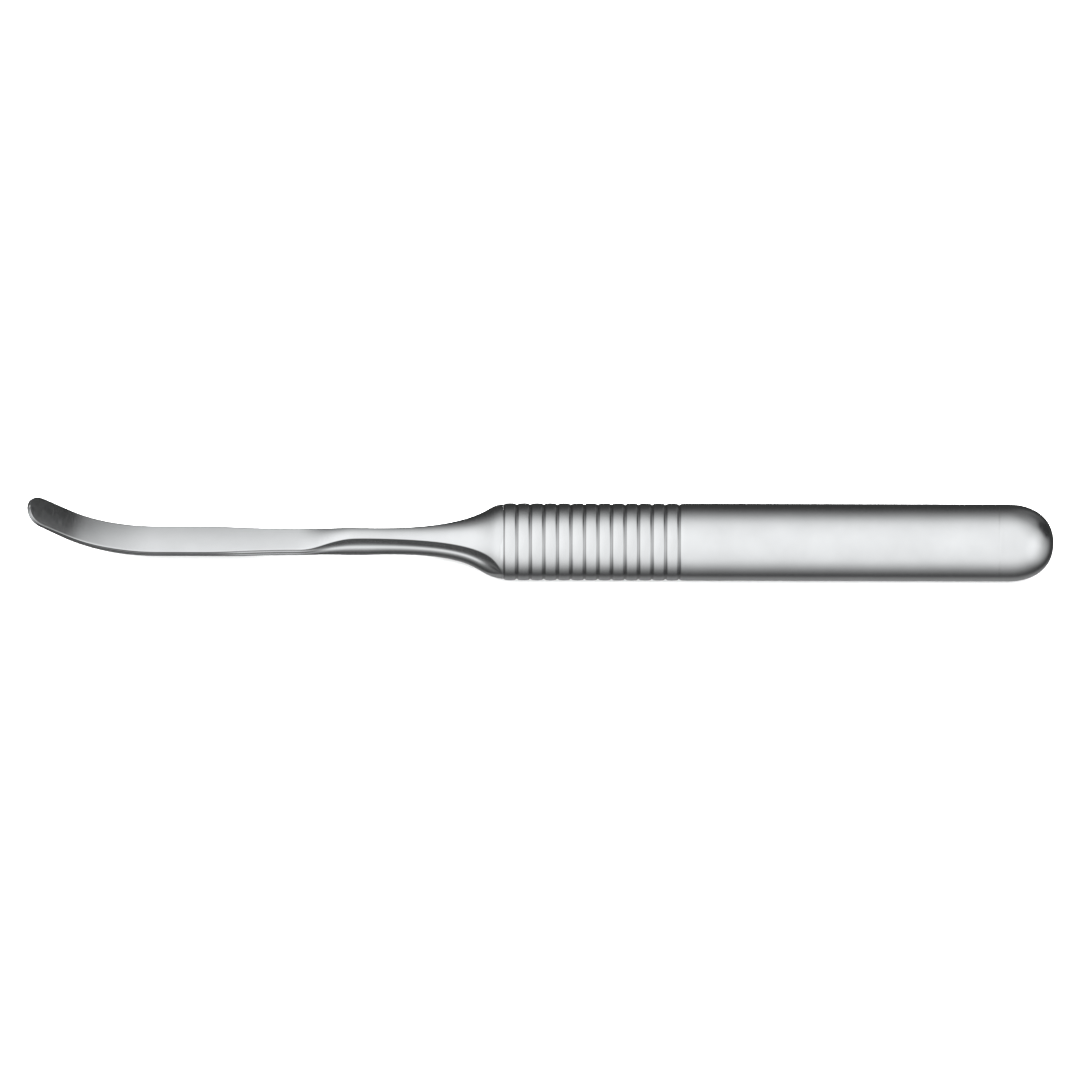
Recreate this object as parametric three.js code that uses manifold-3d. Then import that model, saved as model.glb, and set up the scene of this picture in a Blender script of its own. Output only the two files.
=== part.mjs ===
// Dental elevator with a round, ribbed, hollow steel handle. Millimetres, +Z up.
//
// +X runs along the handle, from the tip of the blade to the rounded end. +Z is the side that the front of
// the blade faces, and the tip curves up to it. Y is across. The origin is at the middle of the length and
// of the width, on the surface that the handle lies on.
//
// Inside the group, X is measured from the tip of the blade, and Y and Z from the axis of the handle.
import * as THREE from "three";
import { mergeVertices } from "three/addons/utils/BufferGeometryUtils.js";
import Module from "manifold-3d";

const wasm = await Module();
wasm.setup();

// Driving dimensions
const LENGTH = 170;
const FIT_GAP = 0.3;
const SIDES = 24;

const BLADE_WIDTH = 5.05;
const BLADE_THICKNESS = 1.6;
const BLADE_ROOT_WIDTH = 4.2;
const BLADE_ROOT_AT = 44.5;
const TIP_WIDTH = 4.75;
const TIP_THICKNESS = 0.7;
const TIP_ANGLE = THREE.MathUtils.degToRad(44);
const TIP_BEND_RADIUS = 21.4;
const TIP_BEND_AT = 21.3;
const TIP_ROUND_LENGTH = 3.4;

const NECK_START = 54;
const FLARE_START = 56;
const NECK_FRONT_WIDTH = 2.05;
const NECK_FRONT_RADIUS = 3.02;
const NECK_BACK_WIDTH = 3.5;
const NECK_BACK_RADIUS = 2.6;
const LEDGE_HEIGHT = 0.5;
const LEDGE_OVERLAP = 0.2;

const HANDLE_RADIUS = 6.4;
const FLARE_END_RADIUS = 6.2;
const WALL = 1.1;
const GRIP_START = 78.8;
const GROOVE_COUNT = 14;
const GROOVE_PITCH = 2.24;
const GROOVE_WIDTH = 0.7;
const GROOVE_DEPTH = 0.25;
const GRIP_END = GRIP_START + (GROOVE_COUNT - 1) * GROOVE_PITCH;
const DOME_LENGTH = 7.8;
const DOME_FULLNESS = 2.25;
const DOME_START = LENGTH - DOME_LENGTH;
const CAP_LAND = 1.2;
const CAP_START = DOME_START - CAP_LAND;

const BORE_RADIUS = HANDLE_RADIUS - WALL;
const SPIGOT_RADIUS = BORE_RADIUS - FIT_GAP;
const SPIGOT_LENGTH = 7;
const TANG_RADIUS = 2.2;
const TANG_END = GRIP_START + 21;
const BUSH_START = GRIP_START + 12;
const BUSH_END = TANG_END + 1;
const PIN_RADIUS = 0.8;
const FERRULE_REACH = 6;
const FERRULE_WALL = 1.6;
const BRAZE_SEAT_WIDTH = 1.4;
const BRAZE_SEAT_DEPTH = 0.9;

// A closed mesh as a solid that can be joined and cut.
function solid(geometry) {
  const bare = geometry.clone();
  bare.deleteAttribute("normal");
  bare.deleteAttribute("uv");
  const merged = mergeVertices(bare, 1e-4);
  return new wasm.Manifold(
    new wasm.Mesh({
      numProp: 3,
      vertProperties: new Float32Array(merged.attributes.position.array),
      triVerts: new Uint32Array(merged.index.array),
    }),
  );
}

// A solid as a geometry that a mesh can hold.
function geometryOf(body) {
  const mesh = body.getMesh();
  const geometry = new THREE.BufferGeometry();
  geometry.setAttribute("position", new THREE.BufferAttribute(new Float32Array(mesh.vertProperties), 3));
  geometry.setIndex(new THREE.BufferAttribute(new Uint32Array(mesh.triVerts), 1));
  geometry.computeVertexNormals();
  return geometry;
}

// A turned piece: a profile of [x, radius] points spun about the X axis. The radius is that of the flats, and
// one flat lies at the bottom.
function turned(profile) {
  const toCorner = 1 / Math.cos(Math.PI / SIDES);
  const points = profile.map(([x, radius]) => new THREE.Vector2(radius * toCorner, x));
  const geometry = new THREE.LatheGeometry(points, SIDES, Math.PI / SIDES, 2 * Math.PI);
  return geometry.rotateZ(-Math.PI / 2);
}

// A tube or ring with one bore, cut from a turned outline.
function turnedTube(outline, boreRadius) {
  const start = outline[0][0];
  const end = outline[outline.length - 1][0];
  return turned([[start, boreRadius], ...outline, [end, boreRadius], [start, boreRadius]]);
}

// A plate cut to an outline in X and Z, centred across Y.
function sidePlate(shape, width) {
  const geometry = new THREE.ExtrudeGeometry(shape, { depth: width, bevelEnabled: false, curveSegments: 14 });
  return geometry.rotateX(Math.PI / 2).translate(0, width / 2, 0);
}

// A plate cut to an outline in X and Y, centred on the axis in Z.
function flatPlate(shape, depth) {
  const geometry = new THREE.ExtrudeGeometry(shape, { depth, bevelEnabled: false, curveSegments: 14 });
  return geometry.translate(0, 0, -depth / 2);
}

function steel(color, roughness) {
  return new THREE.MeshStandardMaterial({ color, roughness, metalness: 1 });
}

const group = new THREE.Group();
group.position.set(-LENGTH / 2, 0, HANDLE_RADIUS);

function addPiece(name, geometry, material) {
  const mesh = new THREE.Mesh(geometry, material);
  mesh.name = name;
  group.add(mesh);
}

// Blade and shank: one forging. Its side outline gives the blade, its upturned tip and the neck, a turned
// trumpet opens to the handle, and a plan outline narrows both. The neck is slimmer in front than behind, so
// that a ledge runs along each flank. The tip is rounded square to its own face.
const bendCentre = new THREE.Vector2(TIP_BEND_AT, TIP_BEND_RADIUS);
const tipOffset = (TIP_THICKNESS / 2) * Math.sin(TIP_ANGLE);
const tipReach = TIP_BEND_AT - TIP_BEND_RADIUS * Math.sin(TIP_ANGLE) - tipOffset;
const tipStraight = tipReach / Math.cos(TIP_ANGLE);
const tipRise = TIP_BEND_RADIUS * (1 - Math.cos(TIP_ANGLE)) + tipStraight * Math.sin(TIP_ANGLE);
const tipCentre = new THREE.Vector2(tipOffset, tipRise);

function bladeSideOutline() {
  const half = BLADE_THICKNESS / 2;
  const front = Math.sqrt(NECK_FRONT_RADIUS ** 2 - (NECK_FRONT_WIDTH / 2) ** 2);
  const back = Math.sqrt(NECK_BACK_RADIUS ** 2 - (NECK_BACK_WIDTH / 2) ** 2);
  const blend = (NECK_START - BLADE_ROOT_AT) / 2;
  const tipOut = new THREE.Vector2(tipOffset, (TIP_THICKNESS / 2) * Math.cos(TIP_ANGLE));
  const bendEnd = -Math.PI / 2 - TIP_ANGLE;
  const shape = new THREE.Shape();
  shape.moveTo(tipCentre.x + tipOut.x, tipCentre.y + tipOut.y);
  shape.lineTo(tipCentre.x - tipOut.x, tipCentre.y - tipOut.y);
  shape.absarc(bendCentre.x, bendCentre.y, TIP_BEND_RADIUS + half, bendEnd, -Math.PI / 2, false);
  shape.lineTo(BLADE_ROOT_AT, -half);
  shape.bezierCurveTo(BLADE_ROOT_AT + blend, -half, NECK_START - blend, -back, NECK_START, -back);
  shape.lineTo(FLARE_START, -back);
  shape.lineTo(FLARE_START, front);
  shape.lineTo(NECK_START, front);
  shape.bezierCurveTo(NECK_START - blend, front, BLADE_ROOT_AT + blend, half, BLADE_ROOT_AT, half);
  shape.absarc(bendCentre.x, bendCentre.y, TIP_BEND_RADIUS - half, -Math.PI / 2, bendEnd, true);
  return shape;
}

// Half of a plan outline, on one side of the axis; the other half is its mirror. The flare is given by the
// two handles of its curve.
function shankPlanOutline(neckWidth, [leaving, arriving]) {
  const blade = BLADE_WIDTH / 2;
  const root = BLADE_ROOT_WIDTH / 2;
  const neck = neckWidth / 2;
  const half = new THREE.Path();
  half.moveTo(-1, TIP_WIDTH / 2);
  half.lineTo(3, TIP_WIDTH / 2);
  half.lineTo(11, blade);
  half.lineTo(29, blade);
  half.bezierCurveTo(34, blade, 37, root, 43, root);
  half.lineTo(45, root);
  half.bezierCurveTo(48.5, root, 49, neck, FLARE_START, neck);
  half.bezierCurveTo(...leaving, ...arriving, GRIP_START - FIT_GAP, FLARE_END_RADIUS + 0.1);
  const points = half.getPoints(12);
  const mirrored = points.map((point) => new THREE.Vector2(point.x, -point.y)).reverse();
  return new THREE.Shape([...points, ...mirrored]);
}

// The turned part: a slim round neck, crowned over the plate, that opens as a trumpet.
function trumpet(neckRadius, [leaving, arriving]) {
  const end = GRIP_START - FIT_GAP / 2;
  const flare = new THREE.CubicBezierCurve(
    new THREE.Vector2(FLARE_START, neckRadius),
    new THREE.Vector2(...leaving),
    new THREE.Vector2(...arriving),
    new THREE.Vector2(end - GROOVE_WIDTH / 4, FLARE_END_RADIUS),
  );
  const profile = flare.getPoints(14).map((point) => [point.x, point.y]);
  const runOut = [[BLADE_ROOT_AT + 4, 0], [NECK_START, neckRadius - 0.1]];
  return turned([...runOut, ...profile, [end, HANDLE_RADIUS - GROOVE_DEPTH], [end, 0]]);
}

// The front or the back of the bar, from one height to another, before the tip is rounded.
function slice(low, high, neckWidth, planFlare, neckRadius, flare) {
  const plate = solid(sidePlate(bladeSideOutline(), 2 * HANDLE_RADIUS));
  const plan = flatPlate(shankPlanOutline(neckWidth, planFlare), high - low);
  plan.translate(0, 0, (low + high) / 2);
  return plate.add(solid(trumpet(neckRadius, flare))).intersect(solid(plan));
}

function bladeNeckAndFlare() {
  const reach = 4 * HANDLE_RADIUS;
  const frontPlan = [[76.4, 0.85], [76.6, 5.6]];
  const frontFlare = [[76.3, 2.42], [75.6, 6.2]];
  const backPlan = [[75.4, 1.08], [74, 5.38]];
  const backFlare = [[76.4, 1.92], [72.6, 5.27]];
  const low = LEDGE_HEIGHT - LEDGE_OVERLAP;
  const front = slice(low, reach, NECK_FRONT_WIDTH, frontPlan, NECK_FRONT_RADIUS, frontFlare);
  const back = slice(-reach, LEDGE_HEIGHT, NECK_BACK_WIDTH, backPlan, NECK_BACK_RADIUS, backFlare);
  return front.add(back);
}

// The seat that holds a ring of filler metal is a groove round a spigot.
function spigotWithSeat(start, end, seatAt, radius) {
  const seatRadius = radius - BRAZE_SEAT_DEPTH;
  return [
    [start, radius],
    [seatAt - BRAZE_SEAT_WIDTH / 2, radius],
    [seatAt - BRAZE_SEAT_WIDTH / 2, seatRadius],
    [seatAt + BRAZE_SEAT_WIDTH / 2, seatRadius],
    [seatAt + BRAZE_SEAT_WIDTH / 2, radius],
    [end, radius],
  ];
}

const FRONT_SEAT_AT = GRIP_START + 3.5;
const PIN_AT = (BUSH_START + TANG_END) / 2;

function spigotAndTang() {
  const root = GRIP_START - 1;
  const shoulder = GRIP_START - FIT_GAP / 2;
  const spigotEnd = GRIP_START + SPIGOT_LENGTH;
  return turned([
    [root, 0],
    [root, SPIGOT_RADIUS],
    ...spigotWithSeat(shoulder, spigotEnd, FRONT_SEAT_AT, SPIGOT_RADIUS),
    [spigotEnd + 1, TANG_RADIUS],
    [TANG_END, TANG_RADIUS],
    [TANG_END, 0],
  ]);
}

function crossHole(radius) {
  return solid(new THREE.CylinderGeometry(radius, radius, 4 * HANDLE_RADIUS, 16).translate(PIN_AT, 0, 0));
}

// What is ground away round the tip, in the tip's own plane, leaves an elliptical end.
function tipTrimmings() {
  const half = TIP_WIDTH / 2;
  const outside = TIP_WIDTH;
  const shape = new THREE.Shape();
  shape.moveTo(-outside, -outside);
  shape.lineTo(TIP_ROUND_LENGTH, -outside);
  shape.lineTo(TIP_ROUND_LENGTH, -half);
  shape.absellipse(TIP_ROUND_LENGTH, 0, TIP_ROUND_LENGTH, half, -Math.PI / 2, Math.PI / 2, true);
  shape.lineTo(TIP_ROUND_LENGTH, outside);
  shape.lineTo(-outside, outside);
  const plate = flatPlate(shape, 2 * BLADE_THICKNESS);
  return plate.rotateY(TIP_ANGLE).translate(tipCentre.x, 0, tipCentre.y);
}

function bladeAndShank() {
  const rounded = bladeNeckAndFlare().subtract(solid(tipTrimmings()));
  return rounded.add(solid(spigotAndTang())).subtract(crossHole(PIN_RADIUS + FIT_GAP));
}

addPiece("blade_and_shank", geometryOf(bladeAndShank()), steel(0xd3d6d8, 0.28));

// Rings of filler metal, each lying in the seat of a spigot.
function brazeRing(seatAt, spigotRadius) {
  const width = BRAZE_SEAT_WIDTH - 2 * FIT_GAP;
  const inner = spigotRadius - BRAZE_SEAT_DEPTH + FIT_GAP;
  return turnedTube([[seatAt - width / 2, spigotRadius], [seatAt + width / 2, spigotRadius]], inner);
}

const FERRULE_START = GRIP_END - FERRULE_REACH;
const FERRULE_END = GRIP_END + FERRULE_REACH;
const CAP_SPIGOT_START = CAP_START - 6;
const CAP_SEAT_AT = CAP_START - 3;
const FERRULE_SEATS_AT = [GRIP_END - FERRULE_REACH / 2, GRIP_END + FERRULE_REACH / 2];

const brazeAlloy = steel(0xc9b27a, 0.4);
addPiece("front_braze_ring", brazeRing(FRONT_SEAT_AT, SPIGOT_RADIUS), brazeAlloy);
addPiece("ferrule_front_braze_ring", brazeRing(FERRULE_SEATS_AT[0], SPIGOT_RADIUS), brazeAlloy);
addPiece("ferrule_rear_braze_ring", brazeRing(FERRULE_SEATS_AT[1], SPIGOT_RADIUS), brazeAlloy);
addPiece("end_cap_braze_ring", brazeRing(CAP_SEAT_AT, SPIGOT_RADIUS), brazeAlloy);

// Ribbed grip: a turned sleeve. Its first and last grooves are shared with the pieces that it meets.
function ribbedGrip() {
  const start = GRIP_START + FIT_GAP / 2;
  const end = GRIP_END - FIT_GAP / 2;
  const bottom = HANDLE_RADIUS - GROOVE_DEPTH;
  const lip = GROOVE_WIDTH / 2;
  const floor = GROOVE_WIDTH / 5;
  const outline = [[start, bottom], [GRIP_START + lip, HANDLE_RADIUS]];
  for (let groove = 1; groove < GROOVE_COUNT - 1; groove++) {
    const at = GRIP_START + groove * GROOVE_PITCH;
    outline.push([at - lip, HANDLE_RADIUS], [at - floor, bottom]);
    outline.push([at + floor, bottom], [at + lip, HANDLE_RADIUS]);
  }
  outline.push([GRIP_END - lip, HANDLE_RADIUS], [end, bottom]);
  return turnedTube(outline, BORE_RADIUS);
}

addPiece("ribbed_grip", ribbedGrip(), steel(0xd6d8da, 0.3));

// Tang bush: a sleeve in the grip that centres the end of the tang, cross-drilled for its pin.
function tangBush() {
  const sleeve = turnedTube([[BUSH_START, SPIGOT_RADIUS], [BUSH_END, SPIGOT_RADIUS]], TANG_RADIUS + FIT_GAP);
  return solid(sleeve).subtract(crossHole(PIN_RADIUS + FIT_GAP));
}

addPiece("tang_bush", geometryOf(tangBush()), steel(0xb9bcbe, 0.45));

// Tang pin: a plain round pin across the bush and the tang.
const pinLength = 2 * (SPIGOT_RADIUS - FIT_GAP);
const tangPin = new THREE.CylinderGeometry(PIN_RADIUS, PIN_RADIUS, pinLength, 12).translate(PIN_AT, 0, 0);
addPiece("tang_pin", tangPin, steel(0xc4c7c9, 0.35));

// Joining ferrule: a short tube inside the grip and the barrel, with a seat for filler metal on each side.
function joiningFerrule() {
  const [frontSeat, rearSeat] = FERRULE_SEATS_AT;
  const outline = [
    ...spigotWithSeat(FERRULE_START, GRIP_END, frontSeat, SPIGOT_RADIUS),
    ...spigotWithSeat(GRIP_END, FERRULE_END, rearSeat, SPIGOT_RADIUS).slice(1),
  ];
  return turnedTube(outline, SPIGOT_RADIUS - FERRULE_WALL);
}

addPiece("joining_ferrule", joiningFerrule(), steel(0xb9bcbe, 0.45));

// Barrel: the smooth rear tube, which starts with its side of the last groove.
function barrel() {
  const outline = [
    [GRIP_END + FIT_GAP / 2, HANDLE_RADIUS - GROOVE_DEPTH],
    [GRIP_END + GROOVE_WIDTH / 2, HANDLE_RADIUS],
    [CAP_START - FIT_GAP, HANDLE_RADIUS],
  ];
  return turnedTube(outline, BORE_RADIUS);
}

addPiece("barrel", barrel(), steel(0xd9dbdd, 0.26));

// The dome's outline: a quarter of an oval that is a little fuller than an ellipse.
function domeOutline() {
  const steps = 10;
  return Array.from({ length: steps + 1 }, (_, step) => {
    const angle = ((step / steps) * Math.PI) / 2;
    const along = Math.sin(angle) ** (2 / DOME_FULLNESS);
    const out = step < steps ? Math.cos(angle) ** (2 / DOME_FULLNESS) : 0;
    return [DOME_START + DOME_LENGTH * along, HANDLE_RADIUS * out];
  });
}

// End cap: a dome with a short land, and a hollow spigot that plugs the barrel.
function endCap() {
  const hollow = SPIGOT_RADIUS - FERRULE_WALL;
  return turned([
    [CAP_START - 0.5, 0],
    [CAP_START - 0.5, hollow],
    [CAP_SPIGOT_START, hollow],
    ...spigotWithSeat(CAP_SPIGOT_START, CAP_START, CAP_SEAT_AT, SPIGOT_RADIUS),
    [CAP_START, HANDLE_RADIUS],
    ...domeOutline(),
  ]);
}

addPiece("end_cap", endCap(), steel(0xd9dbdd, 0.26));

export default group;
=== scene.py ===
import math

import bmesh
import bpy
from mathutils import Matrix, Vector


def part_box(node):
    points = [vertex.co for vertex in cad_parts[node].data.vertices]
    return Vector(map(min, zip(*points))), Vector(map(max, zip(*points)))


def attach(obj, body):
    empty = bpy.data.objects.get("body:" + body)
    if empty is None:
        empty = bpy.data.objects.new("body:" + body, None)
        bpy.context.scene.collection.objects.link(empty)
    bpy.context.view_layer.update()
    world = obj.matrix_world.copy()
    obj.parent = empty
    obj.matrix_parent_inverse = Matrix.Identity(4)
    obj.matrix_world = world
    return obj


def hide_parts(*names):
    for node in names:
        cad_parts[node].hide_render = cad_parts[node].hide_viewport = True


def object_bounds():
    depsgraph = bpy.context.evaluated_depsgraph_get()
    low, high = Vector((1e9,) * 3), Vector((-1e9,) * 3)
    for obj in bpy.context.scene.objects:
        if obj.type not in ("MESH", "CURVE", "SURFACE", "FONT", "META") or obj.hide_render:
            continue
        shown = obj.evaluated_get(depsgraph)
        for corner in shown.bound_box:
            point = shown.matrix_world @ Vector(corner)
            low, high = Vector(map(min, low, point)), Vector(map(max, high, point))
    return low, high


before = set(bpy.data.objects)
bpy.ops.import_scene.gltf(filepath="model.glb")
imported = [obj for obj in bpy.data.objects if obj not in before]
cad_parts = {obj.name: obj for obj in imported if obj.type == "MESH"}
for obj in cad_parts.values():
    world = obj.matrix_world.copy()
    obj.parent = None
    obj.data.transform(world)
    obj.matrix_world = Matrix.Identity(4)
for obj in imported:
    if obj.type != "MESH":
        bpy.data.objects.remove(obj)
cad_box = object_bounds()


# Ribbed grip. A turned stainless sleeve with V-shaped grooves, closed on the shank in front and on the
# barrel behind. The first and last grooves are each shared with the neighbour, so they hide the joints.
MM = 0.001
FACETS = 144
JOINT_CRACK = 0.006 * MM

grip_low, grip_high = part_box("ribbed_grip")
barrel_low, barrel_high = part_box("barrel")
tip_x = cad_box[0][0]
axis_z = (barrel_low.z + barrel_high.z) / 2
handle_radius = (barrel_high.z - barrel_low.z) / 2

FIT_GAP = barrel_low.x - grip_high.x
WALL = 1.1 * MM
GROOVES = 14
GROOVE_DEPTH = 0.25 * MM
GROOVE_WIDTH = 0.62 * MM
GROOVE_CURVE = 1.3
GROOVE_STEPS = 6
RIB_CROWN = 0.05 * MM
RIB_STEPS = 6
bore_radius = handle_radius - WALL
front_joint = grip_low.x - FIT_GAP / 2
rear_joint = grip_high.x + FIT_GAP / 2
groove_pitch = (rear_joint - front_joint) / (GROOVES - 1)


def turned(name, profile, closed):
    """A turned body about the handle's axis. The profile holds (x, radius) points and goes round the body's
    section; a closed profile is a tube, and an open one starts and ends on the axis."""
    mesh = bmesh.new()
    rings = []
    for x, radius in profile:
        if radius < 1e-7:
            rings.append([mesh.verts.new((x, 0, axis_z))])
            continue
        angles = [2 * math.pi * step / FACETS for step in range(FACETS)]
        rings.append([
            mesh.verts.new((x, radius * math.sin(a), axis_z - radius * math.cos(a))) for a in angles
        ])
    pairs = list(zip(rings, rings[1:]))
    if closed:
        pairs.append((rings[-1], rings[0]))
    for first, second in pairs:
        for step in range(FACETS):
            after = (step + 1) % FACETS
            corners = [first[step % len(first)], first[after % len(first)],
                       second[after % len(second)], second[step % len(second)]]
            mesh.faces.new(list(dict.fromkeys(corners)))
    return finished(name, mesh)


def finished(name, mesh, sharp_angle=40):
    """The mesh as an object: faces out, smooth shading, and creases kept where the metal has a real edge."""
    bmesh.ops.recalc_face_normals(mesh, faces=mesh.faces)
    data = bpy.data.meshes.new(name)
    mesh.to_mesh(data)
    mesh.free()
    data.shade_smooth()
    data.set_sharp_from_angle(angle=math.radians(sharp_angle))
    piece = bpy.data.objects.new(name, data)
    bpy.context.scene.collection.objects.link(piece)
    return piece


def outer_radius_on_ribs(x):
    """V-shaped grooves a pitch apart, and a rib between each pair with a softly rounded crown."""
    along = (x - front_joint) / groove_pitch
    from_groove = abs(along - round(along)) * groove_pitch
    half = GROOVE_WIDTH / 2
    if from_groove < half:
        sunk = (GROOVE_DEPTH - RIB_CROWN) * (1 - (from_groove / half) ** GROOVE_CURVE)
        return handle_radius - RIB_CROWN - sunk
    towards_crown = (from_groove - half) / (groove_pitch / 2 - half)
    return handle_radius - RIB_CROWN * (1 - towards_crown) ** 2


def grip_outline(start, end):
    """The outline from start to end, with points close together in the grooves and wider apart on ribs."""
    half = GROOVE_WIDTH / 2
    land = groove_pitch / 2 - half
    in_groove = [half * step / GROOVE_STEPS for step in range(GROOVE_STEPS + 1)]
    on_rib = [half + land * step / RIB_STEPS for step in range(1, RIB_STEPS)]
    places = [start, end]
    for groove in range(GROOVES):
        middle = front_joint + groove * groove_pitch
        behind = [middle + offset for offset in in_groove + on_rib + [groove_pitch / 2]]
        before = [middle - offset for offset in in_groove[1:] + on_rib]
        places += [place for place in behind + before if start < place < end]
    return [(x, outer_radius_on_ribs(x)) for x in sorted(places)]


CLOUDS_PER_METRE = 180
CLOUD_SHADE = 0.93
WORN_EDGE = (0.52, 0.60)
WORN_SHADE = 1.1
WORN_POLISH = -0.06
SCRATCH_DEPTH = 0.004 * MM


def satin_metal(name, tint, smooth, rough, grain, turned_grain):
    """Satin turned or ground metal: a fine grain, a soft clouding, and edges polished by use."""
    material = bpy.data.materials.new(name)
    material.use_nodes = True
    nodes = material.node_tree.nodes
    links = material.node_tree.links
    shader = nodes["Principled BSDF"]
    shader.inputs["Metallic"].default_value = 1
    place = nodes.new("ShaderNodeTexCoord")

    stretch = nodes.new("ShaderNodeMapping")
    stretch.inputs["Scale"].default_value = turned_grain
    links.new(place.outputs["Object"], stretch.inputs["Vector"])
    lines = nodes.new("ShaderNodeTexNoise")
    lines.inputs["Scale"].default_value = 1
    lines.inputs["Detail"].default_value = 3
    links.new(stretch.outputs["Vector"], lines.inputs["Vector"])

    cloud = nodes.new("ShaderNodeTexNoise")
    cloud.inputs["Scale"].default_value = CLOUDS_PER_METRE
    cloud.inputs["Detail"].default_value = 3
    links.new(place.outputs["Object"], cloud.inputs["Vector"])

    wear = nodes.new("ShaderNodeNewGeometry")
    edge = nodes.new("ShaderNodeMapRange")
    edge.inputs["From Min"].default_value = WORN_EDGE[0]
    edge.inputs["From Max"].default_value = WORN_EDGE[1]
    links.new(wear.outputs["Pointiness"], edge.inputs["Value"])

    shade = nodes.new("ShaderNodeValToRGB")
    shade.color_ramp.elements[0].position = 0.3
    shade.color_ramp.elements[0].color = [c * CLOUD_SHADE for c in tint] + [1]
    shade.color_ramp.elements[1].position = 0.7
    shade.color_ramp.elements[1].color = [*tint, 1]
    links.new(cloud.outputs["Fac"], shade.inputs["Fac"])
    worn = nodes.new("ShaderNodeMix")
    worn.data_type = "RGBA"
    worn.inputs["B"].default_value = [min(1, c * WORN_SHADE) for c in tint] + [1]
    links.new(edge.outputs["Result"], worn.inputs["Factor"])
    links.new(shade.outputs["Color"], worn.inputs["A"])
    links.new(worn.outputs["Result"], shader.inputs["Base Color"])

    satin = nodes.new("ShaderNodeMapRange")
    satin.inputs["From Min"].default_value = 0.3
    satin.inputs["From Max"].default_value = 0.7
    satin.inputs["To Min"].default_value = smooth
    satin.inputs["To Max"].default_value = rough
    links.new(lines.outputs["Fac"], satin.inputs["Value"])
    polish = nodes.new("ShaderNodeMath")
    polish.operation = "MULTIPLY_ADD"
    polish.inputs[1].default_value = WORN_POLISH
    links.new(edge.outputs["Result"], polish.inputs[0])
    links.new(satin.outputs["Result"], polish.inputs[2])
    links.new(polish.outputs["Value"], shader.inputs["Roughness"])

    scratch = nodes.new("ShaderNodeBump")
    scratch.inputs["Strength"].default_value = grain
    scratch.inputs["Distance"].default_value = SCRATCH_DEPTH
    links.new(lines.outputs["Fac"], scratch.inputs["Height"])
    links.new(scratch.outputs["Normal"], shader.inputs["Normal"])
    return material


def place_in_frame(piece, material, slot, *nodes):
    """The piece gets its metal, moves with the whole instrument, and stands for its plain solid."""
    piece.data.materials.append(material)
    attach(piece, "root")
    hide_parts(*nodes)


HANDLE_FINISH = {
    "tint": (0.74, 0.755, 0.765),
    "smooth": 0.17,
    "rough": 0.25,
    "grain": 0.35,
    "turned_grain": (16000, 500, 500),
}
# Painted shade in the grooves: the base colour at their bottoms, and the radii between which it darkens.
GROOVE_PAINTED_SHADE = 0.62
painted_shade_deepest_radius = handle_radius - 0.7 * GROOVE_DEPTH
unshaded_radius = handle_radius - 0.8 * RIB_CROWN


def paint_shade_in_grooves(material):
    """Painted shade: the base colour stays darker towards the bottoms of the grooves, as if the light didn't
    reach into them.
    """
    nodes = material.node_tree.nodes
    links = material.node_tree.links
    shader = nodes["Principled BSDF"]
    unshaded_colour = shader.inputs["Base Color"].links[0].from_socket
    place = nodes.new("ShaderNodeTexCoord")
    from_axis = nodes.new("ShaderNodeMapping")
    from_axis.inputs["Location"].default_value = (0, 0, -axis_z)
    from_axis.inputs["Scale"].default_value = (0, 1, 1)
    links.new(place.outputs["Object"], from_axis.inputs["Vector"])
    radius = nodes.new("ShaderNodeVectorMath")
    radius.operation = "LENGTH"
    links.new(from_axis.outputs["Vector"], radius.inputs[0])
    depth = nodes.new("ShaderNodeMapRange")
    depth.inputs["From Min"].default_value = painted_shade_deepest_radius
    depth.inputs["From Max"].default_value = unshaded_radius
    depth.inputs["To Min"].default_value = GROOVE_PAINTED_SHADE
    links.new(radius.outputs["Value"], depth.inputs["Value"])
    shaded = nodes.new("ShaderNodeVectorMath")
    shaded.operation = "SCALE"
    links.new(unshaded_colour, shaded.inputs[0])
    links.new(depth.outputs["Result"], shaded.inputs["Scale"])
    links.new(shaded.outputs["Vector"], shader.inputs["Base Color"])


handle_steel = satin_metal("satin_handle_steel", **HANDLE_FINISH)
# The handle metal gets painted shade in its grooves.
paint_shade_in_grooves(handle_steel)

grip_start = front_joint + JOINT_CRACK
grip_end = rear_joint - JOINT_CRACK
grip_profile = grip_outline(grip_start, grip_end) + [(grip_end, bore_radius), (grip_start, bore_radius)]
ribbed_grip = turned("ribbed_grip_sleeve", grip_profile, closed=True)
place_in_frame(ribbed_grip, handle_steel, "handle_steel", "ribbed_grip")


# Barrel. A smooth drawn stainless tube of the same diameter, brazed on the joining ferrule. It starts with
# its own side of the last groove and ends square against the domed cap, with a hair's breadth off its edge.
cap_joint = barrel_high.x + FIT_GAP
barrel_start = rear_joint + JOINT_CRACK
barrel_end = cap_joint - JOINT_CRACK
BARREL_STEPS = 48
LIP_ROUND = 0.008 * MM
LIP_DROP = 0.005 * MM
LIP_LAND = 0.12 * MM


def barrel_outline():
    smooth_start = rear_joint + groove_pitch / 2
    lead = grip_outline(barrel_start, smooth_start)
    reach = barrel_end - LIP_LAND - smooth_start
    run = [(smooth_start + reach * step / BARREL_STEPS, handle_radius) for step in range(1, BARREL_STEPS + 1)]
    return lead + run + [(barrel_end - LIP_ROUND, handle_radius), (barrel_end, handle_radius - LIP_DROP)]


barrel_profile = barrel_outline() + [(barrel_end, bore_radius), (barrel_start, bore_radius)]
barrel = turned("smooth_barrel_tube", barrel_profile, closed=True)
place_in_frame(barrel, handle_steel, "handle_steel", "barrel")


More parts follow.
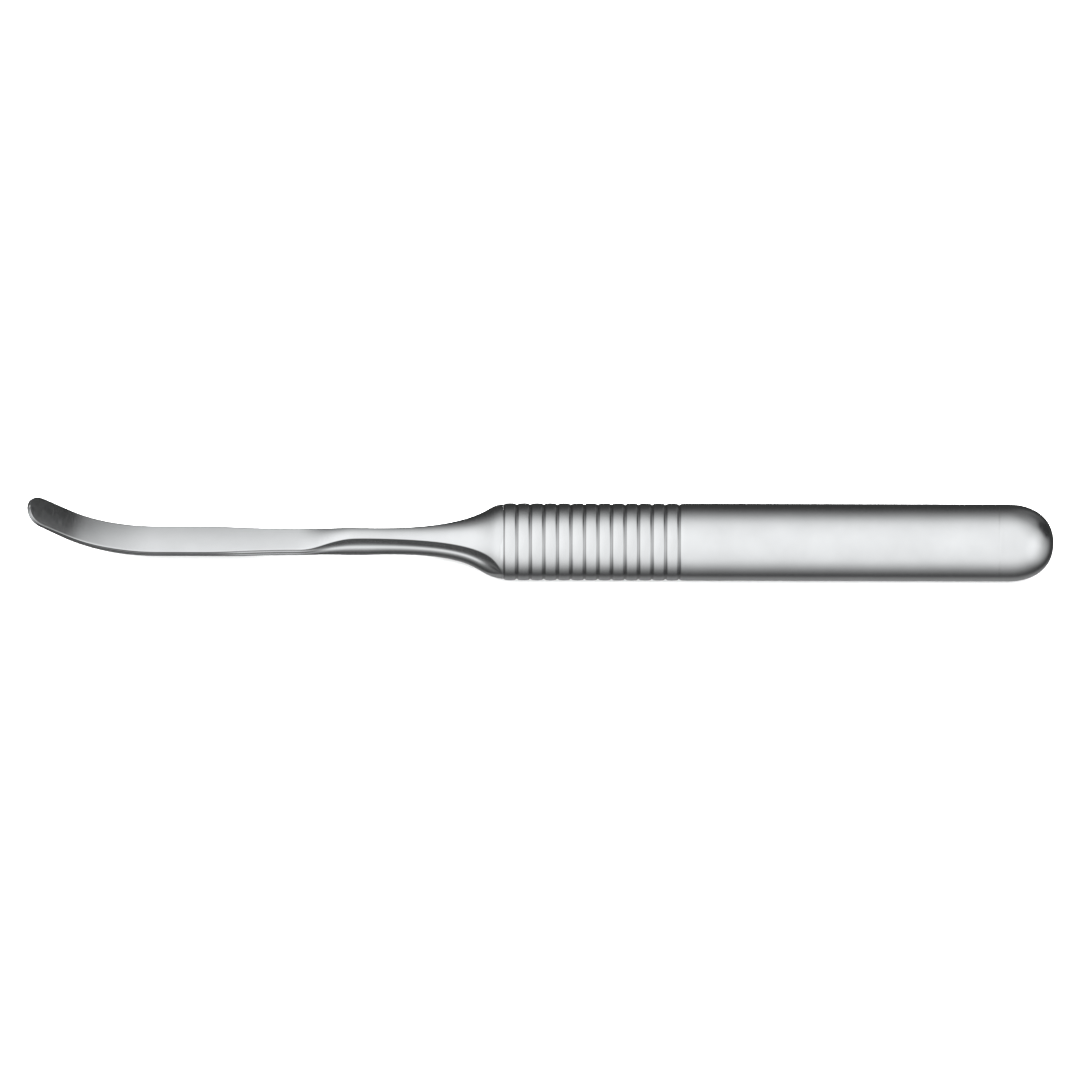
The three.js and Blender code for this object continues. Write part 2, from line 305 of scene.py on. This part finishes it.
# End cap. A turned plug with a dome a little fuller than an ellipse, a short land that lines up with the
# barrel, and a hollow spigot inside it with a seat for a ring of filler metal.
SPIGOT_CLEARANCE = 0.05 * MM
SEAT_WIDTH = 1.4 * MM
SEAT_DEPTH = 0.9 * MM
SPIGOT_HOLLOW = 3.4 * MM
SPIGOT_CHAMFER = 0.3 * MM
CAP_FLOOR = 0.5 * MM
DOME_LENGTH = 7.8 * MM
DOME_FULLNESS = 2.25
DOME_STEPS = 48
cap_low, cap_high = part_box("end_cap")
spigot_radius = bore_radius - SPIGOT_CLEARANCE
cap_seat = (cap_low.x + cap_joint) / 2


def seat_outline(middle):
    """The groove round a spigot that holds a ring of filler metal."""
    front = middle - SEAT_WIDTH / 2
    back = middle + SEAT_WIDTH / 2
    floor = spigot_radius - SEAT_DEPTH
    return [(front, spigot_radius), (front, floor), (back, floor), (back, spigot_radius)]


def dome_outline():
    start = cap_high.x - DOME_LENGTH
    power = 2 / DOME_FULLNESS
    turns = [math.pi / 2 * step / DOME_STEPS for step in range(DOME_STEPS)]
    points = [
        (start + DOME_LENGTH * math.sin(turn) ** power, handle_radius * math.cos(turn) ** power)
        for turn in turns
    ]
    return points + [(cap_high.x, 0)]


cap_start = cap_joint + JOINT_CRACK
cap_profile = [
    (cap_joint - CAP_FLOOR, 0),
    (cap_joint - CAP_FLOOR, SPIGOT_HOLLOW),
    (cap_low.x, SPIGOT_HOLLOW),
    (cap_low.x, spigot_radius - SPIGOT_CHAMFER),
    (cap_low.x + SPIGOT_CHAMFER, spigot_radius),
    *seat_outline(cap_seat),
    (cap_start, spigot_radius),
    (cap_start, handle_radius - LIP_DROP),
    (cap_start + LIP_ROUND, handle_radius),
    (cap_start + LIP_LAND, handle_radius),
    *dome_outline(),
]
end_cap = turned("domed_end_cap", cap_profile, closed=False)
cap_steel = satin_metal("satin_cap_steel", **HANDLE_FINISH)
place_in_frame(end_cap, cap_steel, "handle_steel", "end_cap")


# Blade and shank. One forging in hardened stainless steel: a flat blade that curls up at the tip, a slim
# neck with ground flanks, narrow in front and fuller behind, and a turned flare. A spigot and a tang behind
# the flare go into the handle.
TIP_ANGLE = math.radians(42.5)
BEND_RADIUS = 22.2 * MM
BEND_AT = 21.3 * MM
TIP_THICKNESS = 0.8 * MM
BLADE_THICKNESS = 1.6 * MM
TAPER_LENGTH = 18 * MM
TIP_WIDTH = 5.15 * MM
BLADE_WIDTH = 5.25 * MM
TIP_ROUND = 3.1 * MM
TIP_FULLNESS = 2.3
TIP_WIDENS = (3 * MM, 11 * MM)
NECK_ROUNDS = (44.5 * MM, 54 * MM)
SHOULDER_AT = 78 * MM

# These are in millimetres, as the points of the outlines below are.
WAIST_AT = 29
ROOT_AT = 45
ROOT_HALF_WIDTH = 2.18
FLARE_AT = 56
FLARE_ENDS = (78.7, 6.2)
NECK_FRONT_RADIUS = 3.02
NECK_BACK_RADIUS = 2.6
NECK_FRONT_HALF_WIDTH = 1.02
NECK_BACK_HALF_WIDTH = 1.75

EDGE_ROUND = 0.16 * MM
BACK_ROUND = 0.7 * MM
BACK_ROUNDS = (46 * MM, 54 * MM)
HONED = 0.4
HONING_FADES = (4 * MM, 16 * MM)
FACE_CROWN_RADIUS = 20 * MM
SIDE_LEAN = 0.11
SIDE_LEANS = (2 * MM, 16 * MM)
SIDE_STRAIGHTENS = (44 * MM, 52 * MM)
LEDGE_LEAN = math.radians(42)
LEDGE_RISES = (45 * MM, 52 * MM)
LEDGE_FADES = (74 * MM, 78.4 * MM)

FACE_POINTS = 10
EDGE_POINTS = 5
FLANK_POINTS = 16
TIP_RINGS = 24
BLADE_RING_STEP = 0.8 * MM
SHANK_LENGTH = 36 * MM
SHANK_RINGS = 130
flare_end = front_joint - tip_x - JOINT_CRACK
rim_radius = handle_radius - GROOVE_DEPTH

SPIGOT_LENGTH = 7 * MM
TANG_RADIUS = 2.2 * MM
TANG_CHAMFER = 0.3 * MM
PIN_HOLE_RADIUS = 0.95 * MM
PIN_HOLE_FACETS = 48
PIN_HOLE_LENGTH = 20 * MM
pin_low, pin_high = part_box("tang_pin")
seat_low, seat_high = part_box("front_braze_ring")
tang_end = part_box("blade_and_shank")[1].x
pin_x = (pin_low.x + pin_high.x) / 2
front_seat = (seat_low.x + seat_high.x) / 2

straight_reach = BEND_AT - (BEND_RADIUS + TIP_THICKNESS / 2) * math.sin(TIP_ANGLE)
straight_length = straight_reach / math.cos(TIP_ANGLE)
bend_length = BEND_RADIUS * TIP_ANGLE


def bezier_point(points, t):
    """The point at t, from 0 to 1, of the smooth curve with these four control points."""
    u = 1 - t
    weights = (u ** 3, 3 * u * u * t, 3 * u * t * t, t ** 3)
    return tuple(sum(w * point[axis] for w, point in zip(weights, points)) for axis in (0, 1))


def bezier_height(reach, *points):
    """The height at this reach from the tip of a smooth curve, whose points are (reach, height) in mm."""
    low, high = 0.0, 1.0
    for _ in range(30):
        t = (low + high) / 2
        low, high = (t, high) if bezier_point(points, t)[0] * MM < reach else (low, t)
    return bezier_point(points, t)[1] * MM


def eased(reach, start, end):
    """A smooth change from 0 at the start to 1 at the end."""
    t = min(max((reach - start) / (end - start), 0), 1)
    return t * t * (3 - 2 * t)


def spine(length):
    """Where the middle of the bar is, this far along it from the tip: reach, rise and slope."""
    if length < straight_length:
        left = straight_length - length
        reach = BEND_AT - BEND_RADIUS * math.sin(TIP_ANGLE) - left * math.cos(TIP_ANGLE)
        rise = BEND_RADIUS * (1 - math.cos(TIP_ANGLE)) + left * math.sin(TIP_ANGLE)
        return reach, rise, TIP_ANGLE
    if length < straight_length + bend_length:
        slope = TIP_ANGLE - (length - straight_length) / BEND_RADIUS
        return BEND_AT - BEND_RADIUS * math.sin(slope), BEND_RADIUS * (1 - math.cos(slope)), slope
    return BEND_AT + length - straight_length - bend_length, 0, 0


def front_radius(reach):
    """The turned radius of the crowned front, on the neck and the flare."""
    if reach < FLARE_AT * MM:
        return NECK_FRONT_RADIUS * MM
    return bezier_height(reach, (FLARE_AT, NECK_FRONT_RADIUS), (76.3, 2.42), (75.6, 6.2), FLARE_ENDS)


def back_radius(reach):
    """The turned radius of the back, which is slimmer than the front on the neck."""
    if reach < FLARE_AT * MM:
        return NECK_BACK_RADIUS * MM
    return bezier_height(reach, (FLARE_AT, NECK_BACK_RADIUS), (76.4, 1.92), (72.6, 5.27), FLARE_ENDS)


def blade_half_width(reach, length):
    """Half the blade's width: a full round at the tip, nearly parallel sides, and a waist at the root."""
    if length < TIP_ROUND:
        return TIP_WIDTH / 2 * (1 - (1 - length / TIP_ROUND) ** TIP_FULLNESS) ** (1 / TIP_FULLNESS)
    if reach < WAIST_AT * MM:
        return TIP_WIDTH / 2 + (BLADE_WIDTH - TIP_WIDTH) / 2 * eased(reach, *TIP_WIDENS)
    full = BLADE_WIDTH / 2 / MM
    root = ROOT_HALF_WIDTH
    return bezier_height(reach, (WAIST_AT, full), (34, full), (37, root), (ROOT_AT, root))


def narrowed(reach, neck):
    """Half the width between the root and the flare, where the bar narrows to the neck's half width."""
    root = ROOT_HALF_WIDTH
    return bezier_height(reach, (ROOT_AT, root), (48.5, root), (49, neck), (FLARE_AT, neck))


def front_half_width(reach, length):
    """Half the width of the front face, up to the corner of the flank."""
    if reach < ROOT_AT * MM:
        return blade_half_width(reach, length)
    if reach < FLARE_AT * MM:
        return narrowed(reach, NECK_FRONT_HALF_WIDTH)
    return bezier_height(reach, (FLARE_AT, NECK_FRONT_HALF_WIDTH), (76.4, 0.85), (76.6, 5.6), FLARE_ENDS)


def back_half_width(reach, length):
    """Half the width where the flank meets the back."""
    if reach < ROOT_AT * MM:
        return blade_half_width(reach, length)
    if reach < FLARE_AT * MM:
        return narrowed(reach, NECK_BACK_HALF_WIDTH)
    return bezier_height(reach, (FLARE_AT, NECK_BACK_HALF_WIDTH), (75.4, 1.08), (74, 5.38), FLARE_ENDS)


def honed(length):
    """How blunt the blade still is: HONED at the tip, and 1 where the honing ends."""
    return HONED + (1 - HONED) * eased(length, *HONING_FADES)


def blade_half_depth(length):
    """Half the blade's thickness, which tapers to the tip."""
    thin = TIP_THICKNESS / 2
    full = BLADE_THICKNESS / 2
    return thin + (full - thin) * min(length / TAPER_LENGTH, 1)


def face_height(reach, length, across, turned_radius):
    """How far a face is from the middle of the bar: faintly crowned on the blade, and round on the neck."""
    crown = across ** 2 / (2 * FACE_CROWN_RADIUS) * honed(length)
    flat = blade_half_depth(length) - crown
    crowned = math.sqrt(max(turned_radius ** 2 - across ** 2, 0))
    return flat + (crowned - flat) * eased(reach, *NECK_ROUNDS)


def flank_curves(reach, front, back):
    """The ground flank as two curves: nearly straight down from the front corner to the middle of a ledge
    that leans out by LEDGE_LEAN, and from there round to the back corner. The blade's side has no ledge.
    The bare numbers are shares of the flank's width and depth."""
    depth = front[1] - back[1]
    ledge = eased(reach, *LEDGE_RISES) * (1 - eased(reach, *LEDGE_FADES))
    middle = (front[0] + (back[0] - front[0]) * 0.55, front[1] - 0.48 * depth)
    lean = LEDGE_LEAN * ledge
    along = (math.sin(lean), -math.cos(lean))
    near = (0.16 - 0.06 * ledge) * depth
    above = (front[0] + 0.01 * depth * ledge, front[1] - 0.26 * depth)
    onto = (middle[0] - near * along[0], middle[1] - near * along[1])
    off = (middle[0] + near * along[0], middle[1] + near * along[1])
    below = (back[0] + 0.035 * depth * ledge, back[1] + 0.3 * depth)
    return (front, above, onto, middle), (middle, off, below, back)


def rounded_corner(before, corner, after):
    """Points between two faces on the curve that rounds their corner."""
    points = []
    for step in range(1, EDGE_POINTS):
        t = step / EDGE_POINTS
        weights = ((1 - t) ** 2, 2 * t * (1 - t), t * t)
        points.append(tuple(
            sum(w * p[axis] for w, p in zip(weights, (before, corner, after))) for axis in (0, 1)
        ))
    return points


def half_section(reach, length):
    """Half of the section, from the middle of the front face round the flank to the middle of the back."""
    leaning = eased(length, *SIDE_LEANS) * (1 - eased(reach, *SIDE_STRAIGHTENS))
    lean = SIDE_LEAN * 2 * blade_half_depth(length) * leaning
    front_half = front_half_width(reach, length) - lean
    back_half = back_half_width(reach, length) + lean
    shoulder = handle_radius
    if reach >= SHOULDER_AT:
        shoulder = outer_radius_on_ribs(min(tip_x + reach, front_joint))
    front_turn = min(front_radius(reach), shoulder)
    back_turn = min(back_radius(reach), shoulder)
    front_half = min(front_half, 0.9999 * front_turn)
    back_half = min(back_half, 0.9999 * back_turn)
    front = (front_half, face_height(reach, length, front_half, front_turn))
    back = (back_half, -face_height(reach, length, back_half, back_turn))
    upper, lower = flank_curves(reach, front, back)
    depth = front[1] - back[1]
    front_edge = min(EDGE_ROUND * honed(length), 0.5 * front_half, 0.3 * depth)
    neck = eased(reach, *BACK_ROUNDS)
    back_edge = min(EDGE_ROUND + (BACK_ROUND - EDGE_ROUND) * neck, 0.5 * back_half, 0.3 * depth)

    face = []
    for step in range(FACE_POINTS + 1):
        across = (front_half - front_edge) * step / FACE_POINTS
        face.append((across, face_height(reach, length, across, front_turn)))
    from_front = 1.3 * front_edge / depth
    to_back = 1 - 1.2 * back_edge / depth
    side = [
        bezier_point(upper, from_front + (1 - from_front) * step / FLANK_POINTS)
        for step in range(FLANK_POINTS)
    ]
    side += [bezier_point(lower, to_back * step / FLANK_POINTS) for step in range(FLANK_POINTS + 1)]
    rear = []
    for step in range(FACE_POINTS + 1):
        across = (back_half - back_edge) * (1 - step / FACE_POINTS)
        rear.append((across, -face_height(reach, length, across, back_turn)))
    return (face + rounded_corner(face[-1], front, side[0]) + side
            + rounded_corner(side[-1], back, rear[0]) + rear)


def section_ring(mesh, length):
    """The whole section, mirrored about the middle and set square to the spine at this length."""
    reach, rise, slope = spine(length)
    half = half_section(reach, length)
    loop = half + [(-across, height) for across, height in reversed(half[1:-1])]
    ring = []
    for across, height in loop:
        x = tip_x + reach + height * math.sin(slope)
        z = axis_z + rise + height * math.cos(slope)
        ring.append(mesh.verts.new((x, across, z)))
    return ring


def spigot_and_tang():
    """The turned end behind the shoulder, as (x, radius) points: a spigot with its seat, then a slim tang."""
    shoulder = tip_x + flare_end
    end = shoulder + SPIGOT_LENGTH
    return [
        (shoulder, rim_radius),
        (shoulder, spigot_radius),
        *seat_outline(front_seat),
        (end, spigot_radius),
        (end + 1 * MM, TANG_RADIUS),
        (tang_end - TANG_CHAMFER, TANG_RADIUS),
        (tang_end, TANG_RADIUS - TANG_CHAMFER),
    ]


def forged_bar():
    """The blade, neck and flare as one skin of sections, carried on by the turned spigot and tang."""
    mesh = bmesh.new()
    whole = straight_length + bend_length + flare_end - BEND_AT
    quarter = math.pi / 2
    places = [TIP_ROUND * (1 - math.cos(quarter * step / TIP_RINGS)) for step in range(1, TIP_RINGS + 1)]
    while places[-1] < whole - SHANK_LENGTH:
        places.append(places[-1] + BLADE_RING_STEP)
    rest = whole - places[-1]
    places += [places[-1] + rest * step / SHANK_RINGS for step in range(1, SHANK_RINGS + 1)]
    rings = [section_ring(mesh, at) for at in places]
    rays = [Vector((0, corner.co.y, corner.co.z - axis_z)).normalized() for corner in rings[-1]]
    for x, radius in spigot_and_tang():
        rings.append([mesh.verts.new((x, radius * ray.y, axis_z + radius * ray.z)) for ray in rays])
    for first, second in zip(rings, rings[1:]):
        for step in range(len(first)):
            after = (step + 1) % len(first)
            mesh.faces.new((first[step], first[after], second[after], second[step]))
    mesh.faces.new(rings[0])
    mesh.faces.new(rings[-1])
    return finished("forged_blade_and_shank", mesh, sharp_angle=60)


def cross_drilled(piece):
    """Drills the hole for the cross pin through a piece."""
    mesh = bmesh.new()
    bmesh.ops.create_cone(
        mesh, cap_ends=True, segments=PIN_HOLE_FACETS,
        radius1=PIN_HOLE_RADIUS, radius2=PIN_HOLE_RADIUS, depth=PIN_HOLE_LENGTH,
    )
    bmesh.ops.translate(mesh, verts=mesh.verts, vec=(pin_x, 0, axis_z))
    drill = finished("drill", mesh)
    cut = piece.modifiers.new("cross_hole", "BOOLEAN")
    cut.operation = "DIFFERENCE"
    cut.solver = "EXACT"
    cut.object = drill
    whole = piece.data
    piece.data = bpy.data.meshes.new_from_object(piece.evaluated_get(bpy.context.evaluated_depsgraph_get()))
    piece.modifiers.clear()
    piece.data.set_sharp_from_angle(angle=math.radians(50))
    bpy.data.objects.remove(drill)
    bpy.data.meshes.remove(whole)


blade_steel = satin_metal(
    "cross_ground_blade_steel", tint=(0.72, 0.735, 0.745),
    smooth=0.16, rough=0.26, grain=0.45, turned_grain=(9000, 700, 700),
)
blade_and_shank = forged_bar()
cross_drilled(blade_and_shank)
place_in_frame(blade_and_shank, blade_steel, "working_steel", "blade_and_shank")


# Joining ferrule. A short turned stainless tube inside the joint of the grip and the barrel. A seat on each
# side holds a ring of filler metal, which brazes it to both.
END_CHAMFER = 0.3 * MM
ferrule_low, ferrule_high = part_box("joining_ferrule")
ferrule_seats = []
for ring in ("ferrule_front_braze_ring", "ferrule_rear_braze_ring"):
    ring_low, ring_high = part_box(ring)
    ferrule_seats.append((ring_low.x + ring_high.x) / 2)


def sleeve_profile(low, high, outer, bore, seats):
    """A sleeve with chamfered ends, and with the seats cut round its outside."""
    outside = [(low + END_CHAMFER, outer)]
    for seat in seats:
        outside += seat_outline(seat)
    outside += [(high - END_CHAMFER, outer), (high, outer - END_CHAMFER)]
    return [(low, outer - END_CHAMFER), *outside, (high, bore + END_CHAMFER), (high - END_CHAMFER, bore),
            (low + END_CHAMFER, bore), (low, bore + END_CHAMFER)]


inner_steel = satin_metal(
    "as_turned_inner_steel", tint=(0.58, 0.59, 0.60),
    smooth=0.3, rough=0.44, grain=0.6, turned_grain=(12000, 400, 400),
)
ferrule_profile = sleeve_profile(
    ferrule_low.x, ferrule_high.x, spigot_radius, SPIGOT_HOLLOW, ferrule_seats
)
ferrule = turned("seated_joining_ferrule", ferrule_profile, closed=True)
place_in_frame(ferrule, inner_steel, "inner_steel", "joining_ferrule")


# Rings of filler metal. Each is a loop of round brazing wire that lies in the seat of a spigot or of the
# ferrule, and fixes it to the tube round it.
WIRE_RADIUS = 0.4 * MM
WIRE_CLEARANCE = 0.03 * MM
WIRE_STEPS = 20
braze_wire = satin_metal(
    "brazing_wire", tint=(0.76, 0.6, 0.34),
    smooth=0.28, rough=0.45, grain=0.4, turned_grain=(2500, 2500, 2500),
)
wire_middle = spigot_radius - SEAT_DEPTH + WIRE_RADIUS + WIRE_CLEARANCE


def wire_ring(name, node):
    low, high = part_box(node)
    middle = (low.x + high.x) / 2
    turns = [2 * math.pi * step / WIRE_STEPS for step in range(WIRE_STEPS)]
    profile = [
        (middle + WIRE_RADIUS * math.cos(turn), wire_middle + WIRE_RADIUS * math.sin(turn))
        for turn in turns
    ]
    place_in_frame(turned(name, profile, closed=True), braze_wire, "braze_alloy", node)


wire_ring("front_spigot_wire_ring", "front_braze_ring")
wire_ring("ferrule_front_wire_ring", "ferrule_front_braze_ring")
wire_ring("ferrule_rear_wire_ring", "ferrule_rear_braze_ring")
wire_ring("cap_spigot_wire_ring", "end_cap_braze_ring")


# Bush and cross pin. A turned sleeve centres the end of the tang in the grip, and a plain pin with chamfered
# ends goes through both, so that the shank can't turn or pull out.
TANG_CLEARANCE = 0.1 * MM
PIN_RADIUS = 0.8 * MM
PIN_CHAMFER = 0.15 * MM
bush_low, bush_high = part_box("tang_bush")
bush_bore = TANG_RADIUS + TANG_CLEARANCE
bush_profile = sleeve_profile(bush_low.x, bush_high.x, spigot_radius, bush_bore, [])
bush = turned("cross_drilled_tang_bush", bush_profile, closed=True)
cross_drilled(bush)
place_in_frame(bush, inner_steel, "inner_steel", "tang_bush")

pin_half = (pin_high.z - pin_low.z) / 2
pin_profile = [
    (-pin_half, 0),
    (-pin_half, PIN_RADIUS - PIN_CHAMFER),
    (PIN_CHAMFER - pin_half, PIN_RADIUS),
    (pin_half - PIN_CHAMFER, PIN_RADIUS),
    (pin_half, PIN_RADIUS - PIN_CHAMFER),
    (pin_half, 0),
]
pin = turned("chamfered_tang_pin", pin_profile, closed=False)
to_axis = Matrix.Translation((0, 0, -axis_z))
stand_up = Matrix.Translation((pin_x, 0, axis_z)) @ Matrix.Rotation(math.pi / 2, 4, "Y")
pin.data.transform(stand_up @ to_axis)
place_in_frame(pin, inner_steel, "inner_steel", "tang_pin")


# Table, lights and camera. A pale seamless table, a broad soft light over it that only the table takes up,
# and a studio whose walls are brightest behind the camera and dark at the far side, for the steel to reflect.
CAMERA_ELEVATION = math.radians(61)
CAMERA_ROLL = math.radians(0.15)
LENS = 1000
SENSOR = 36
PICTURE_WIDTH = 179 * MM
AIM_ALONG = -0.12 * MM
AIM_UP = 0.28 * MM
TABLE_SIZE = 8
towards_camera = Vector((0, -math.cos(CAMERA_ELEVATION), math.sin(CAMERA_ELEVATION)))
picture_up = Vector((0, math.sin(CAMERA_ELEVATION), math.cos(CAMERA_ELEVATION)))

bpy.ops.mesh.primitive_plane_add(size=TABLE_SIZE, location=(0, 0, 0))
table = bpy.context.object
table.name = "table"
table.visible_glossy = False
paper = bpy.data.materials.new("matt_white_table")
paper.use_nodes = True
paper_shader = paper.node_tree.nodes["Principled BSDF"]
paper_shader.inputs["Base Color"].default_value = (0.88, 0.885, 0.89, 1)
paper_shader.inputs["Roughness"].default_value = 0.9
table.data.materials.append(paper)

soft_light = bpy.data.lights.new("soft_light", "AREA")
soft_light.shape = "DISK"
soft_light.size = 3
soft_light.energy = 420
lamp = bpy.data.objects.new("soft_light", soft_light)
lamp.location = (0, -0.6, 2.5)
lamp.rotation_euler = (math.radians(-13), 0, 0)
lamp.visible_glossy = False
lamp.visible_camera = False
bpy.context.scene.collection.objects.link(lamp)

camera_data = bpy.data.cameras.new("camera")
camera_data.lens = LENS
camera_data.sensor_width = SENSOR
camera = bpy.data.objects.new("camera", camera_data)
bpy.context.scene.collection.objects.link(camera)
aim = Vector((AIM_ALONG, 0, axis_z)) + picture_up * AIM_UP
camera.location = aim + towards_camera * PICTURE_WIDTH * LENS / SENSOR
turn = towards_camera.to_track_quat("Z", "Y").to_matrix() @ Matrix.Rotation(CAMERA_ROLL, 3, "Z")
camera.rotation_euler = turn.to_euler()
bpy.context.scene.camera = camera
bpy.context.scene.view_settings.view_transform = "Standard"

studio = bpy.data.worlds.new("studio")
studio.use_nodes = True
bpy.context.scene.world = studio
nodes = studio.node_tree.nodes
links = studio.node_tree.links
wall = nodes["Background"]
direction = nodes.new("ShaderNodeTexCoord")


def towards(axis, start, end, level):
    """A soft patch of wall: nothing at the cosine start from the axis, and the full level at end."""
    along = nodes.new("ShaderNodeVectorMath")
    along.operation = "DOT_PRODUCT"
    along.inputs[1].default_value = Vector(axis).normalized()
    links.new(direction.outputs["Generated"], along.inputs[0])
    patch = nodes.new("ShaderNodeMapRange")
    patch.interpolation_type = "SMOOTHSTEP"
    patch.inputs["From Min"].default_value = start
    patch.inputs["From Max"].default_value = end
    patch.inputs["To Max"].default_value = level
    links.new(along.outputs["Value"], patch.inputs["Value"])
    return patch.outputs["Result"]


def summed(first, second):
    total = nodes.new("ShaderNodeMath")
    total.operation = "ADD"
    links.new(first, total.inputs[0])
    links.new(second, total.inputs[1])
    return total.outputs["Value"]


facing = nodes.new("ShaderNodeVectorMath")
facing.operation = "DOT_PRODUCT"
facing.inputs[1].default_value = towards_camera
links.new(direction.outputs["Generated"], facing.inputs[0])
glow = nodes.new("ShaderNodeFloatCurve")
curve = glow.mapping.curves[0]
STUDIO_LEVELS = (
    (0, 0.05), (0.22, 0.05), (0.33, 0.10), (0.405, 0.18), (0.48, 0.28), (0.55, 0.40),
    (0.61, 0.53), (0.67, 0.66), (0.725, 0.78), (0.785, 0.88), (0.87, 0.96), (1, 1),
)
for place, level in STUDIO_LEVELS[1:-1]:
    curve.points.new(place, level)
curve.points[0].location = STUDIO_LEVELS[0]
curve.points[-1].location = STUDIO_LEVELS[-1]
glow.mapping.update()
halfway = nodes.new("ShaderNodeMapRange")
halfway.inputs["From Min"].default_value = -1
links.new(facing.outputs["Value"], halfway.inputs["Value"])
links.new(halfway.outputs["Result"], glow.inputs["Value"])

TABLE_GLOW = ((0, 0.05, -1), 0.8, 1, 0.22)
LEFT_SCREEN = ((-0.8, -0.2, 0.55), 0.4, 0.85, 0.14)
RIGHT_SCREEN = ((0.97, -0.25, 0.05), 0.6, 0.95, 0.24)
DARK_CORNER = ((0.75, 0.485, 0.35), 0.6, 0.9, -0.11)
BLACK_FLAG = ((0.87, 0.48, 0.02), 0.92, 1, -0.18)
FAR_SCREEN = ((0.55, 0.82, 0.05), 0.85, 1, 0.12)
DARKEST_WALL = 0.03
BRIGHTEST_WALL = 2
walls = glow.outputs["Value"]
for patch in (TABLE_GLOW, LEFT_SCREEN, RIGHT_SCREEN, DARK_CORNER, BLACK_FLAG, FAR_SCREEN):
    walls = summed(walls, towards(*patch))
limit = nodes.new("ShaderNodeClamp")
limit.inputs["Min"].default_value = DARKEST_WALL
limit.inputs["Max"].default_value = BRIGHTEST_WALL
links.new(walls, limit.inputs["Value"])

seen = nodes.new("ShaderNodeLightPath")
backdrop = nodes.new("ShaderNodeMix")
backdrop.inputs["B"].default_value = 0.9
links.new(seen.outputs["Is Camera Ray"], backdrop.inputs["Factor"])
links.new(limit.outputs["Result"], backdrop.inputs["A"])
links.new(backdrop.outputs["Result"], wall.inputs["Color"])
wall.inputs["Strength"].default_value = 1.1
